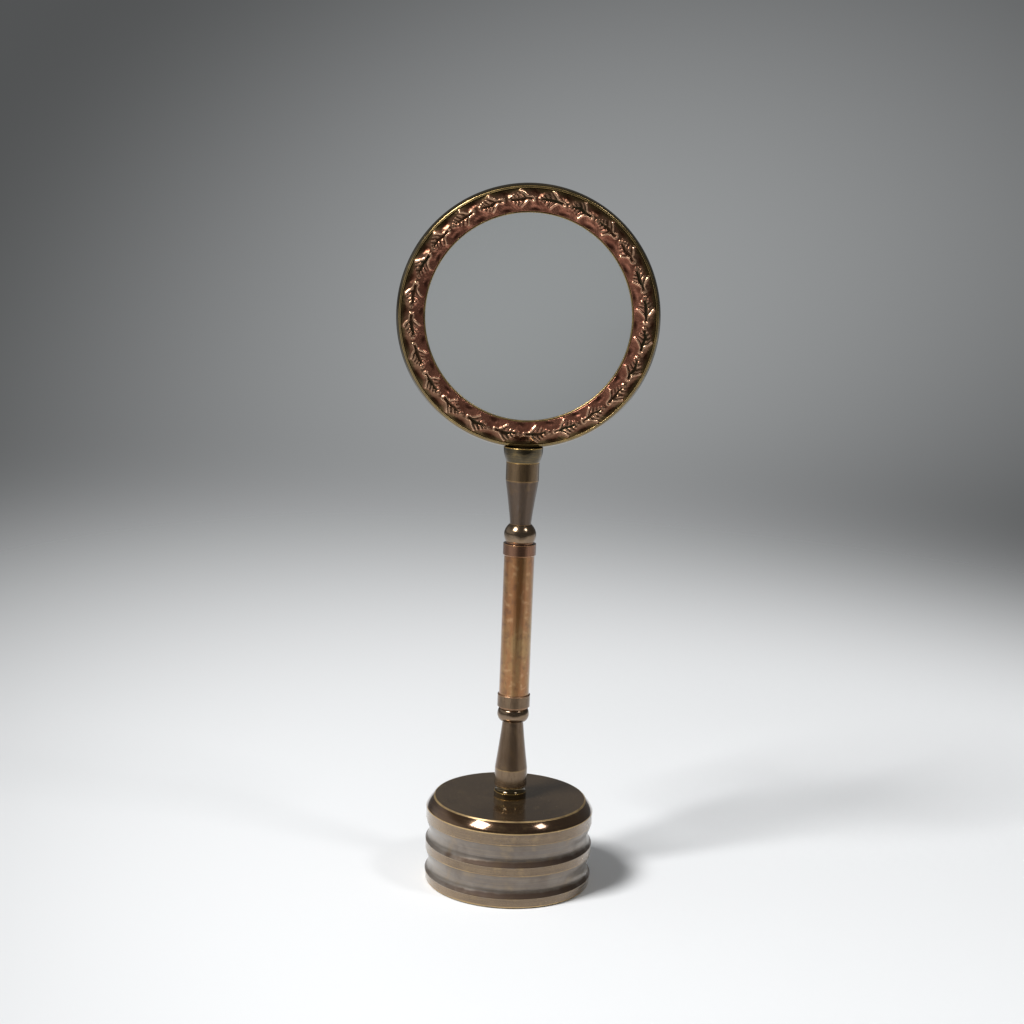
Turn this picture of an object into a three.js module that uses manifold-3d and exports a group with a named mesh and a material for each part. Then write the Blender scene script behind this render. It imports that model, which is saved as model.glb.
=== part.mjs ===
import * as THREE from 'three';
import { mergeVertices } from 'three/addons/utils/BufferGeometryUtils.js';
import Module from 'manifold-3d';

// Stand magnifier, in millimetres, Z up. The origin is the middle of the underside of the base pad.
// A leaf-bordered hoop holds the glass and faces -Y. It stands on a turned brass and copper handle,
// and the handle screws into a weighted drum base, so that it can be taken out and held in the hand.

// Fits
const fit = 0.3;
const overrun = 1;

// Fineness of the round pieces
const baseFacets = 48;
const stemFacets = 24;
const hoopFacets = 72;
const boltFacets = 16;
const archSteps = 4;
const roundSteps = 6;

// Base drum, its bands and coves from the table up
const padProud = 0.4;
const footBandHeight = 3.8;
const lowerCoveHeight = 8.4;
const waistBandHeight = 3.6;
const upperCoveHeight = 8.1;
const topBandHeight = 4.5;
const shoulderHeight = 3.5;
const bandRadius = 31.2;
const footTaper = 0.3;
const discRadius = 28.5;
const shoulderBulge = 0.25;
const discEdge = 0.25;
const coveDepth = 1.4;
const coveStep = 0.2;
const coveDeepestShare = 0.4;
const drumWall = 1.5;
const drumTopWall = 3;

// Threaded sleeve of the base, and the nut and washer that clamp the iron weight on it
const studRadius = 3.15;
const sleeveWall = 1.3;
const sleeveFlange = 0.8;
const sleeveFlangeHeight = 1.5;
const sleeveBelowNut = 0.8;
const nutHeight = 4;
const ballastNutAcross = 15;
const washerRadius = 9.5;
const washerHeight = 1;
const nutWellRadius = 11;

// Cover plate under the base, its screws and its pad
const plateHeight = 1.2;
const padHeight = 1.2;
const screwInset = 8.3;
const screwCount = 3;
const screwRadius = 1.2;
const screwHeadRadius = 2.1;
const screwLength = 7;

// Foot collar, a loose ring that the handle presses on the base
const footCollarRadius = 6.05;
const footCollarNeck = 4.9;
const footCollarLand = 2.2;
const footCollarHeight = 4;

// Tie rod through the handle, the screwed stud at its foot and the nut that pulls the handle together
const rodRadius = 2.2;
const studLength = 10;
const rodEndDepth = 8;
const tieNutAcross = 6.6;
const tieNutHeight = 2.4;

// Balusters, a pair of tapering turned necks with a plain band at the wide end
const balusterRadius = 6.05;
const balusterNeck = 3.85;
const balusterSwellPower = 1.15;
const lowerBandHeight = 6.7;
const lowerConeHeight = 18.3;
const upperBandHeight = 6.6;
const upperConeHeight = 16.4;

// Beads and ferrules
const beadRadius = 5.9;
const lowerBeadHeight = 4.9;
const lowerBeadFoot = 4.3;
const lowerBeadTop = 5.3;
const upperBeadHeight = 6.4;
const upperBeadFoot = 5.3;
const upperBeadTop = 4.3;
const ferruleRadius = 6.05;
const ferruleGroove = 5.1;
const grooveHeight = 0.7;
const lowerFerruleHeight = 4.8;
const upperFerruleHeight = 4.4;
const ferruleChamfer = 0.3;
const plugLength = 6;

// Copper tube of the handle
const tubeRadius = 5.6;
const tubeWall = 0.9;
const tubeLength = 52.4;

// Top collar, a rounded saddle for the hoop, and the spigot that joins them
const topCollarRadius = 7.15;
const topCollarFoot = 6.05;
const topCollarHeight = 4.6;
const saddleCheek = 1;
const spigotRadius = 1.5;
const spigotInHoop = 4.4;
const spigotInNeck = 5;

// Hoop, the brass frame of the glass, from its opening out
const openingRadius = 37;
const lipWidth = 0.6;
const borderWidth = 7.5;
const hoopLand = 0.6;
const hoopBulge = 1.2;
const hoopThickness = 7.2;
const lipHeight = 0.7;
const channelDepth = 1.3;
const webHeight = 1;

// Leaf border, a pressed copper strip set in the hoop's channel
const borderEdge = 0.8;
const borderCrown = 0.6;
const leafCount = 24;
const leafTurnShare = 0.15;
const leafHeight = 0.45;
const leafRib = 0.15;
const leafSide = 0.35;
const leafMargin = 0.35;
// Shares along a leaf from its tip to the next one: place, half width and height.
const leafShares = [
  [0, 0.1, 0.4],
  [0.12, 0.45, 0.8],
  [0.28, 0.8, 0.9],
  [0.45, 1, 1],
  [0.57, 0.5, 1],
  [0.69, 0.18, 0.9],
  [0.87, 0.24, 1],
  [0.94, 0.1, 0.4],
];

// Glass, and the screwed ring that holds it from behind
const lensEdge = 1.8;
const lensRise = 2.6;
const lensLap = 1.1;
const retainerHeight = 2.2;
const retainerInset = 0.2;
const retainerThread = 1.6;
const slotCount = 2;
const slotWidth = 2;
const slotDepth = 1;

const antiqueBrass = { color: 0x6e5c3c, roughness: 0.32, metalness: 1 };
const darkBronze = { color: 0x4f4230, roughness: 0.2, metalness: 1 };
const agedCopper = { color: 0x9a6d45, roughness: 0.3, metalness: 1 };
const pressedCopper = { color: 0x8f5f4c, roughness: 0.35, metalness: 1 };
const plainSteel = { color: 0x9a9a96, roughness: 0.35, metalness: 1 };
const castIron = { color: 0x3b3a39, roughness: 0.75, metalness: 0.7 };
const clearGlass = { color: 0xdfe9e6, roughness: 0.03, metalness: 0, transparent: true, opacity: 0.3 };
const greenFelt = { color: 0x2f4a35, roughness: 1, metalness: 0 };

const kernel = await Module();
kernel.setup();

const magnifier = new THREE.Group();

function place(name, geometry, finish, height) {
  const mesh = new THREE.Mesh(geometry, new THREE.MeshStandardMaterial(finish));
  mesh.name = name;
  mesh.position.z = height;
  magnifier.add(mesh);
}

// An outline of [radius, height] points, anticlockwise, turned round the Y axis as the hoop is.
// It closes on itself, unless it starts and ends on the axis.
function facing(outline, facets) {
  const points = outline.map(([radius, height]) => new THREE.Vector2(radius, height));
  if (points[0].x > 0) {
    points.push(points[0].clone());
  }
  return new THREE.LatheGeometry(points, facets);
}

// The same outline, turned round an upright axis as the base and the handle are.
function turned(outline, facets) {
  return facing(outline, facets).rotateX(Math.PI / 2);
}

// A plain turned ring.
function collar(bore, radius, height, facets) {
  return turned([[bore, 0], [radius, 0], [radius, height], [bore, height]], facets);
}

function taper(bottomRadius, topRadius, bottom, top, facets) {
  const geometry = new THREE.CylinderGeometry(topRadius, bottomRadius, top - bottom, facets);
  return geometry.rotateX(Math.PI / 2).translate(0, 0, (top + bottom) / 2);
}

function rod(radius, bottom, top, facets) {
  return taper(radius, radius, bottom, top, facets);
}

function hexNut(across, bore, height) {
  const corner = across / Math.sqrt(3);
  const corners = Array.from({ length: 6 }, (unused, index) => {
    const angle = (index * Math.PI) / 3;
    return new THREE.Vector2(corner * Math.cos(angle), corner * Math.sin(angle));
  });
  const outline = new THREE.Shape(corners);
  outline.holes.push(new THREE.Path().absarc(0, 0, bore, 0, 2 * Math.PI, true));
  return new THREE.ExtrudeGeometry(outline, { depth: height, bevelEnabled: false, curveSegments: boltFacets });
}

function solidOf(geometry) {
  const bare = geometry.clone();
  bare.deleteAttribute('normal');
  bare.deleteAttribute('uv');
  const welded = mergeVertices(bare);
  const vertProperties = new Float32Array(welded.attributes.position.array);
  const triVerts = new Uint32Array(welded.index.array);
  return new kernel.Manifold(new kernel.Mesh({ numProp: 3, vertProperties, triVerts }));
}

function cut(geometry, cutters) {
  const body = cutters.reduce((rest, cutter) => rest.subtract(solidOf(cutter)), solidOf(geometry));
  const mesh = body.getMesh();
  const result = new THREE.BufferGeometry();
  result.setAttribute('position', new THREE.BufferAttribute(new Float32Array(mesh.vertProperties), 3));
  result.setIndex(new THREE.BufferAttribute(new Uint32Array(mesh.triVerts), 1));
  result.computeVertexNormals();
  return result;
}

// Points of a curve, as many as its steps and one more, from a formula of the share of the way along it.
function along(steps, formula) {
  return Array.from({ length: steps + 1 }, (unused, index) => formula(index / steps));
}

// Heights, from the table up
const lowerCoveFoot = padProud + footBandHeight;
const waistFoot = lowerCoveFoot + lowerCoveHeight;
const upperCoveFoot = waistFoot + waistBandHeight;
const topBandFoot = upperCoveFoot + upperCoveHeight;
const shoulderFoot = topBandFoot + topBandHeight;
const drumTop = shoulderFoot + shoulderHeight;
const footCollarSeat = drumTop + fit;
const lowerBalusterSeat = footCollarSeat + footCollarHeight + fit;
const lowerBeadSeat = lowerBalusterSeat + lowerBandHeight + lowerConeHeight;
const lowerFerruleSeat = lowerBeadSeat + lowerBeadHeight;
const tubeSeat = lowerFerruleSeat + grooveHeight + lowerFerruleHeight;
const upperFerruleSeat = tubeSeat + tubeLength;
const upperBeadSeat = upperFerruleSeat + upperFerruleHeight + grooveHeight;
const upperBalusterSeat = upperBeadSeat + upperBeadHeight;
const topCollarSeat = upperBalusterSeat + upperConeHeight + upperBandHeight;
const saddleHeight = topCollarSeat + topCollarHeight;

// Radii of the hoop and its border, from the opening out
const lipRadius = openingRadius + lipWidth;
const borderInner = lipRadius + fit;
const borderOuter = borderInner + borderWidth;
const channelRadius = borderOuter + fit;
const hoopEdge = channelRadius + hoopLand;
const hoopRadius = hoopEdge + hoopBulge;
const hoopCentre = saddleHeight + fit + hoopRadius;

// Base shell, turned with two coves between three bands, open below

// A cove from its lower edge up: a quarter round out of the band below, then a slow curve back out.
function cove(foot, height) {
  const deepest = coveDeepestShare * height;
  const lower = along(archSteps, (share) => {
    return [bandRadius - coveDepth * Math.sin((Math.PI / 2) * share), foot + deepest * share];
  });
  const upper = along(archSteps, (share) => {
    const out = (coveDepth - coveStep) * (1 - Math.cos(Math.PI * share)) / 2;
    return [bandRadius - coveDepth + out, foot + deepest + (height - deepest) * share];
  });
  return [...lower, ...upper.slice(1)];
}

const shoulder = along(archSteps, (share) => {
  const bulge = shoulderBulge * Math.sin(Math.PI * share);
  const radius = bandRadius + (discRadius - bandRadius) * share + bulge;
  return [radius, shoulderFoot + (shoulderHeight - discEdge) * share + bulge];
});

const sleeveRadius = studRadius + fit + sleeveWall;
const flangeRadius = sleeveRadius + sleeveFlange;
const flangeSeat = drumTop - sleeveFlangeHeight;
const drumCeiling = drumTop - drumTopWall;
const drumBore = bandRadius - coveDepth - drumWall;
const screwCircle = drumBore - screwInset;

place('base_shell', turned([
  [bandRadius - footTaper, padProud],
  ...cove(lowerCoveFoot, lowerCoveHeight),
  ...cove(upperCoveFoot, upperCoveHeight),
  [bandRadius, topBandFoot],
  ...shoulder,
  [discRadius - discEdge, drumTop],
  [flangeRadius + fit, drumTop],
  [flangeRadius + fit, flangeSeat - fit],
  [sleeveRadius + fit, flangeSeat - fit],
  [sleeveRadius + fit, drumCeiling],
  [drumBore, drumCeiling],
  [drumBore, padProud],
], baseFacets), antiqueBrass, 0);

// Iron weight, clamped against the shell by a sleeve, a washer and a nut

const plateTop = padHeight + plateHeight;
const weightFoot = plateTop + fit;
const weightTop = drumCeiling - fit;
const sleeveFoot = weightFoot + fit;
const nutSeat = sleeveFoot + sleeveBelowNut;
const washerSeat = nutSeat + nutHeight + fit;
const wellTop = washerSeat + washerHeight + fit;
const screwTip = padHeight + screwLength;

place('base_sleeve', turned([
  [studRadius + fit, sleeveFoot],
  [sleeveRadius, sleeveFoot],
  [sleeveRadius, flangeSeat],
  [flangeRadius, flangeSeat],
  [flangeRadius, drumTop],
  [studRadius + fit, drumTop],
], stemFacets), antiqueBrass, 0);

// The same cutter or screw at each place on the screws' circle.
function onScrewCircle(make) {
  return Array.from({ length: screwCount }, (unused, index) => {
    const angle = (2 * Math.PI * index) / screwCount;
    return make().translate(screwCircle * Math.cos(angle), screwCircle * Math.sin(angle), 0);
  });
}

const weight = turned([
  [nutWellRadius, weightFoot],
  [drumBore - fit, weightFoot],
  [drumBore - fit, weightTop],
  [sleeveRadius + fit, weightTop],
  [sleeveRadius + fit, wellTop],
  [nutWellRadius, wellTop],
], baseFacets);
const weightHoles = onScrewCircle(() => {
  return rod(screwRadius + fit, weightFoot - overrun, screwTip + fit, boltFacets);
});
place('ballast_weight', cut(weight, weightHoles), castIron, 0);
place('ballast_washer', collar(sleeveRadius + fit, washerRadius, washerHeight, stemFacets), plainSteel, washerSeat);
place('ballast_nut', hexNut(ballastNutAcross, sleeveRadius + fit, nutHeight), plainSteel, nutSeat);

// Cover plate, its countersunk screws and the pad glued under it

const headHeight = screwHeadRadius - screwRadius;
const plate = rod(drumBore - fit, padHeight, plateTop, baseFacets);
const shankHoles = onScrewCircle(() => {
  return rod(screwRadius + fit, padHeight - overrun, plateTop + overrun, boltFacets);
});
const headHoles = onScrewCircle(() => {
  const bottom = padHeight - overrun;
  const top = padHeight + headHeight;
  return taper(screwHeadRadius + fit + overrun, screwRadius + fit, bottom, top, boltFacets);
});
place('base_plate', cut(plate, [...shankHoles, ...headHoles]), antiqueBrass, 0);

const screws = onScrewCircle(() => turned([
  [0, padHeight],
  [screwHeadRadius, padHeight],
  [screwRadius, padHeight + headHeight],
  [screwRadius, screwTip],
  [0, screwTip],
], boltFacets));
screws.forEach((screw, index) => place(`plate_screw_${index + 1}`, screw, plainSteel, 0));
place('base_pad', rod(drumBore - fit, 0, padHeight, baseFacets), greenFelt, 0);

// Foot collar, free on the neck of the rod between its stud and the handle

const rodBore = rodRadius + fit;

place('foot_collar', turned([
  [rodBore, 0],
  [footCollarRadius, 0],
  ...along(archSteps, (share) => {
    const turn = (Math.PI / 2) * share;
    const radius = footCollarRadius - (footCollarRadius - footCollarNeck) * Math.sin(turn);
    return [radius, footCollarLand + (footCollarHeight - footCollarLand) * (1 - Math.cos(turn))];
  }),
  [rodBore, footCollarHeight],
], stemFacets), darkBronze, footCollarSeat);

// Tie rod, with the stud that screws into the base below the collar, and its nut in the lower baluster

const studTop = footCollarSeat - fit;
const rodTop = upperBalusterSeat + rodEndDepth;

place('tie_rod', turned([
  [0, studTop - studLength],
  [studRadius, studTop - studLength],
  [studRadius, studTop],
  [rodRadius, studTop],
  [rodRadius, rodTop],
  [0, rodTop],
], stemFacets), plainSteel, 0);
place('tie_nut', hexNut(tieNutAcross, rodBore, tieNutHeight), plainSteel, lowerBalusterSeat);

// Balusters, one the other way up

function upsideDown(outline, height) {
  return outline.map(([radius, rise]) => [radius, height - rise]).reverse();
}

const pocketRadius = tieNutAcross / Math.sqrt(3) + fit;
const pocketHeight = tieNutHeight + fit;

// The tapering side from the band up to the neck.
function balusterSide(band, cone) {
  return along(roundSteps, (share) => {
    const radius = balusterNeck + (balusterRadius - balusterNeck) * (1 - share) ** balusterSwellPower;
    return [radius, band + cone * share];
  });
}

place('lower_baluster', turned([
  [pocketRadius, 0],
  [balusterRadius - ferruleChamfer, 0],
  [balusterRadius, ferruleChamfer],
  ...balusterSide(lowerBandHeight, lowerConeHeight),
  [rodBore, lowerBandHeight + lowerConeHeight],
  [rodBore, pocketHeight],
  [pocketRadius, pocketHeight],
], stemFacets), antiqueBrass, lowerBalusterSeat);

const upperLength = upperConeHeight + upperBandHeight;

place('upper_baluster', turned([
  [rodBore, 0],
  ...upsideDown(balusterSide(upperBandHeight, upperConeHeight), upperLength),
  [balusterRadius, upperLength],
  [spigotRadius + fit, upperLength],
  [spigotRadius + fit, rodEndDepth + fit],
  [rodBore, rodEndDepth + fit],
], stemFacets), antiqueBrass, upperBalusterSeat);

// Beads, rounded rings threaded on the rod

function bead(foot, top, height) {
  const side = along(roundSteps, (share) => {
    const end = foot + (top - foot) * share;
    return [end + (beadRadius - end) * Math.sin(Math.PI * share), height * share];
  });
  return turned([[rodBore, 0], ...side, [rodBore, height]], stemFacets);
}

place('lower_bead', bead(lowerBeadFoot, lowerBeadTop, lowerBeadHeight), antiqueBrass, lowerBeadSeat);
place('upper_bead', bead(upperBeadFoot, upperBeadTop, upperBeadHeight), antiqueBrass, upperBeadSeat);

// Ferrules, each a ring with a groove on the bead's side and a plug in the tube's end

function ferrule(height) {
  const shoulderTop = grooveHeight + height;
  const plugRadius = tubeRadius - tubeWall - fit;
  return [
    [rodBore, 0],
    [ferruleGroove, 0],
    [ferruleGroove, grooveHeight],
    [ferruleRadius, grooveHeight],
    [ferruleRadius, shoulderTop - ferruleChamfer],
    [ferruleRadius - ferruleChamfer, shoulderTop],
    [plugRadius, shoulderTop],
    [plugRadius, shoulderTop + plugLength],
    [rodBore, shoulderTop + plugLength],
  ];
}

const upperFerruleTop = grooveHeight + upperFerruleHeight;
place('lower_ferrule', turned(ferrule(lowerFerruleHeight), stemFacets), darkBronze, lowerFerruleSeat);
place('upper_ferrule', turned(upsideDown(ferrule(upperFerruleHeight), upperFerruleTop), stemFacets), darkBronze,
  upperFerruleSeat);

// Copper tube between the ferrules
place('handle_tube', collar(tubeRadius - tubeWall, tubeRadius, tubeLength, stemFacets), agedCopper, tubeSeat);

// Hoop, turned with a channel in front for the border and a seat behind for the glass

const half = hoopThickness / 2;
const channelFloor = channelDepth - half;
const lensSeat = channelFloor + webHeight;
const lensRadius = openingRadius + lensLap;
const lensFront = lensSeat + fit;
const lensBack = lensFront + lensEdge;
const threadRadius = lensRadius + fit + retainerThread;

function hoopSide(room) {
  return along(roundSteps, (share) => {
    const side = 2 * share - 1;
    return [hoopEdge + hoopBulge * (1 - side * side) + room, (half + room) * side];
  });
}

const hoop = facing([
  ...hoopSide(0),
  [threadRadius + fit, half],
  [threadRadius + fit, lensBack],
  [lensRadius + fit, lensBack],
  [lensRadius + fit, lensSeat],
  [openingRadius, lensSeat],
  [openingRadius, channelFloor - lipHeight],
  [lipRadius, channelFloor - lipHeight],
  [lipRadius, channelFloor],
  [channelRadius, channelFloor],
  [channelRadius, -half],
], hoopFacets);
const spigotTop = saddleHeight + fit + spigotInHoop - hoopCentre;
const spigotHole = rod(spigotRadius + fit, -hoopRadius - overrun, spigotTop + fit, boltFacets);
place('hoop', cut(hoop, [spigotHole]), darkBronze, hoopCentre);

// Top collar, saddled to the hoop, and the spigot that runs through it from the handle into the hoop

const topCollar = turned([
  [spigotRadius + fit, 0],
  [topCollarFoot, 0],
  ...along(archSteps, (share) => {
    const out = (topCollarRadius - topCollarFoot) * Math.sin((Math.PI / 2) * share);
    return [topCollarFoot + out, topCollarHeight * share];
  }),
  [topCollarRadius, topCollarHeight + saddleCheek],
  [spigotRadius + fit, topCollarHeight + saddleCheek],
], stemFacets);
const saddle = facing([
  ...hoopSide(fit),
  [openingRadius, half + fit],
  [openingRadius, -half - fit],
], hoopFacets);
saddle.translate(0, 0, hoopCentre - topCollarSeat);
place('top_collar', cut(topCollar, [saddle]), darkBronze, topCollarSeat);
place('hoop_spigot', rod(spigotRadius, topCollarSeat - spigotInNeck, hoopCentre + spigotTop, boltFacets),
  plainSteel, 0);

// Leaf border, a crowned copper strip with the leaves following one another clockwise round the front

const borderMiddle = (borderInner + borderOuter) / 2;
const borderHalf = borderWidth / 2;
const borderFront = channelFloor - borderEdge;
const leafHalf = borderHalf - leafMargin - leafSide;

function crown(radius) {
  const side = (radius - borderMiddle) / borderHalf;
  return borderFront - borderCrown * (1 - side * side);
}

function borderSection(halfShare, heightShare) {
  const width = leafHalf * halfShare;
  const rise = leafHeight * heightShare;
  const inside = borderMiddle - width;
  const outside = borderMiddle + width;
  return [
    [borderInner, borderFront],
    [inside - leafSide, crown(inside - leafSide)],
    [inside, crown(inside) - rise],
    [borderMiddle, crown(borderMiddle) - rise - leafRib],
    [outside, crown(outside) - rise],
    [outside + leafSide, crown(outside + leafSide)],
    [borderOuter, borderFront],
    [borderOuter, channelFloor],
    [borderInner, channelFloor],
  ];
}

function leafBorder() {
  const positions = [];
  const indices = [];
  const columns = leafCount * leafShares.length;
  for (let column = 0; column < columns; column += 1) {
    const [share, halfShare, heightShare] = leafShares[column % leafShares.length];
    const leaf = Math.floor(column / leafShares.length) + leafTurnShare + share;
    const angle = (2 * Math.PI * leaf) / leafCount;
    for (const [radius, depth] of borderSection(halfShare, heightShare)) {
      positions.push(radius * Math.sin(angle), depth, radius * Math.cos(angle));
    }
  }
  const rows = positions.length / 3 / columns;
  for (let column = 0; column < columns; column += 1) {
    const next = (column + 1) % columns;
    for (let row = 0; row < rows; row += 1) {
      const above = (row + 1) % rows;
      const near = column * rows;
      const far = next * rows;
      indices.push(near + row, far + row, near + above);
      indices.push(far + above, near + above, far + row);
    }
  }
  const geometry = new THREE.BufferGeometry();
  geometry.setAttribute('position', new THREE.Float32BufferAttribute(positions, 3));
  geometry.setIndex(indices);
  geometry.computeVertexNormals();
  return geometry;
}

place('leaf_border', leafBorder(), pressedCopper, hoopCentre);

// Glass, an equal double convex lens

// One face from its edge at share 0 to the axis at share 1.
function lensFace(edge, rise) {
  return along(roundSteps, (share) => {
    const radius = lensRadius * (1 - share);
    return [radius, edge + rise * (1 - (1 - share) ** 2)];
  });
}

place('lens', facing([
  ...lensFace(lensFront, -lensRise).reverse(),
  ...lensFace(lensBack, lensRise),
], hoopFacets), clearGlass, hoopCentre);

// Screwed ring behind the glass, with slots for a turning key

const retainerBack = lensBack + fit + retainerHeight;
const retainer = facing([
  [threadRadius, lensBack + fit],
  [threadRadius, retainerBack],
  [openingRadius + retainerInset, retainerBack],
  [openingRadius + retainerInset, lensBack + fit],
], hoopFacets);
const slots = Array.from({ length: slotCount }, (unused, index) => {
  const slot = new THREE.BoxGeometry(hoopRadius, 2 * slotDepth, slotWidth);
  slot.translate(hoopRadius / 2, retainerBack, 0);
  return slot.rotateY((2 * Math.PI * index) / slotCount);
});
place('lens_retainer', cut(retainer, slots), darkBronze, hoopCentre);

export default magnifier;
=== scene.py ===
import math

import bpy
import numpy as np
from mathutils import Matrix, Vector


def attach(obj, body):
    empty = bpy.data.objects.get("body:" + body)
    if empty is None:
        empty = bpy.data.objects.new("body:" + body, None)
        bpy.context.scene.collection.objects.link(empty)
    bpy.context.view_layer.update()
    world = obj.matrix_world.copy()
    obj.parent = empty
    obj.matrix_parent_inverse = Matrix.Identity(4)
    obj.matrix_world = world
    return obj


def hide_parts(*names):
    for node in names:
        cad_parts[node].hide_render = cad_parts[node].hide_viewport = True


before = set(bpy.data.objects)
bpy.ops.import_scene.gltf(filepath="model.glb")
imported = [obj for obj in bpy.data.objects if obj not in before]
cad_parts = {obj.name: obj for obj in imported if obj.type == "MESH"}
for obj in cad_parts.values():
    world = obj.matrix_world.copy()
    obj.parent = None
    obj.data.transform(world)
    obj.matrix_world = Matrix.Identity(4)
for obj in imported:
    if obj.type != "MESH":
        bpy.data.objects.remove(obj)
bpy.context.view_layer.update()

# Drum shell
# The drum is a brass casting, turned outside with two coves between three bands, and lacquered
# brown. Its polished top is the darkest. Handling has worn the bands and edges towards gold, and
# the coves keep a grey bloom.

MM = 0.001
BAND = 31.2
FOOT_TAPER = 0.3
COVE_DEPTH = 1.4
COVE_STEP = 0.25
COVE_DEEPEST = 0.4
COVES = ((4.0, 8.3), (15.8, 8.2))
SHOULDER_FOOT = 28.4
SHOULDER_EDGE = 0.3
SHOULDER_STEPS = 20
DISC = 28.5
DRUM_TOP = 32.3
DRUM_FOOT = 0.4
DRUM_BORE = 28.3
DRUM_CEILING = 29.3
FLANGE = 5.55
FLANGE_SEAT = 30.8
FLANGE_ROOM = 5.61
FLANGE_LEDGE = 30.7
SLEEVE = 4.75
FIT = 0.3
CLOSEST_POINTS = 0.012
LATHE_MARK = 0.004
# Tones of a turned surface, from polished to stained
POLISHED, BRUSHED, PLAIN, SATIN, DARK = 0, 0.3, 0.5, 1, 1.5


def rounded(corners, steps=6):
    """The outline through corners of (radius, height, rounding, tone), anticlockwise.

    Each corner is an arc that touches both its sides. A row of the result is radius, height,
    outward normal in radius and height, tone, and bend: 1 where the arc stands out, -1 where it
    is hollow, 0 where the corner has no rounding. An outline that starts on the axis ends there.
    """
    corners = np.array(corners, float)
    point = corners[:, :2]
    back = np.roll(point, 1, 0) - point
    ahead = np.roll(point, -1, 0) - point
    back /= np.linalg.norm(back, axis=1, keepdims=True)
    ahead /= np.linalg.norm(ahead, axis=1, keepdims=True)
    turn = np.arctan2(ahead[:, 1] * -back[:, 0] + ahead[:, 0] * back[:, 1], -(back * ahead).sum(1))
    tangent = corners[:, 2] * np.tan(np.abs(turn) / 2)
    entry = np.arctan2(-back[:, 1], -back[:, 0])[:, None]
    heading = entry + turn[:, None] * np.linspace(0, 1, steps + 1)
    sharp = corners[:, 2] == 0
    heading[sharp] = (entry + turn[:, None] / 2)[sharp]
    across = np.sign(turn)[:, None] * corners[:, 2, None]
    start = point + back * tangent[:, None]
    first = np.stack([-np.sin(heading[:, :1]), np.cos(heading[:, :1])], -1) * across[..., None]
    now = np.stack([-np.sin(heading), np.cos(heading)], -1) * across[..., None]
    place = start[:, None] + first - now
    normal = np.stack([np.sin(heading), -np.cos(heading)], -1)
    tone = np.repeat(corners[:, 3, None], steps + 1, 1)
    bend = np.repeat(np.sign(turn)[:, None] * ~sharp[:, None], steps + 1, 1)
    rows = np.concatenate([place, normal, tone[..., None], bend[..., None]], -1)
    keep = np.ones((len(corners), steps + 1), bool)
    keep[sharp, 1:] = False
    rows = rows[keep]
    if corners[0, 0] == 0:
        rows[0, 2:4] = (0, np.sign(rows[0, 1] - rows[1, 1]))
        rows[-1, 2:4] = (0, np.sign(rows[-1, 1] - rows[-2, 1]))
        return rows
    return np.concatenate([rows, rows[:1]])


def outlined(corners, spacing, halo=0.45):
    """The rounded outline with more points on its long sides, for turning.

    The last two columns are the edge value and the length so far. The edge value fades with the
    distance along the outline from an arc, over the halo: up to 1 near arcs that stand out, down
    to -1 near hollow ones.
    """
    rows = rounded(corners)
    length = np.concatenate([[0], np.cumsum(np.linalg.norm(np.diff(rows[:, :2], axis=0), axis=1))])
    spaced = np.linspace(0, length[-1], int(length[-1] / spacing) + 1)
    beside = [length + shift for shift in (0, halo / 3, halo, -halo / 3, -halo)]
    near = np.unique(np.round(np.clip(np.concatenate([spaced, *beside]), 0, length[-1]), 4))
    near = near[np.concatenate([[True], np.diff(near) > CLOSEST_POINTS])]
    result = np.stack([np.interp(near, length, column) for column in rows.T], 1)
    edge = np.zeros(len(near))
    for side in (1, -1):
        arcs = length[rows[:, 5] == side]
        if len(arcs):
            gap = np.abs(near[:, None] - arcs)
            if corners[0][0] > 0:
                gap = np.minimum(gap, length[-1] - gap)
            edge += side * np.exp(-((gap.min(1) / halo) ** 2))
    result[:, 5] = edge
    return np.concatenate([result, near[:, None]], 1)


def curved_side(radius, height, tone):
    """Corners without rounding along a curve, from whole arrays of its radii and heights."""
    return np.stack(np.broadcast_arrays(radius, height, 0.0, tone), -1)


def made_mesh(name, points, faces, normals=None, **values):
    """A smooth mesh object of points in millimetres. Each value is a number or a vector at each point."""
    mesh = bpy.data.meshes.new(name)
    mesh.from_pydata(points * MM, [], faces)
    mesh.polygons.foreach_set("use_smooth", np.ones(len(mesh.polygons), bool))
    for key, value in values.items():
        kind, field = ("FLOAT", "value") if value.ndim == 1 else ("FLOAT_VECTOR", "vector")
        layer = mesh.attributes.new(key, kind, "POINT")
        layer.data.foreach_set(field, value.astype(np.float32).ravel())
    if normals is not None:
        mesh.normals_split_custom_set_from_vertices(normals)
    piece = bpy.data.objects.new(name, mesh)
    bpy.context.scene.collection.objects.link(piece)
    return piece


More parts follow.
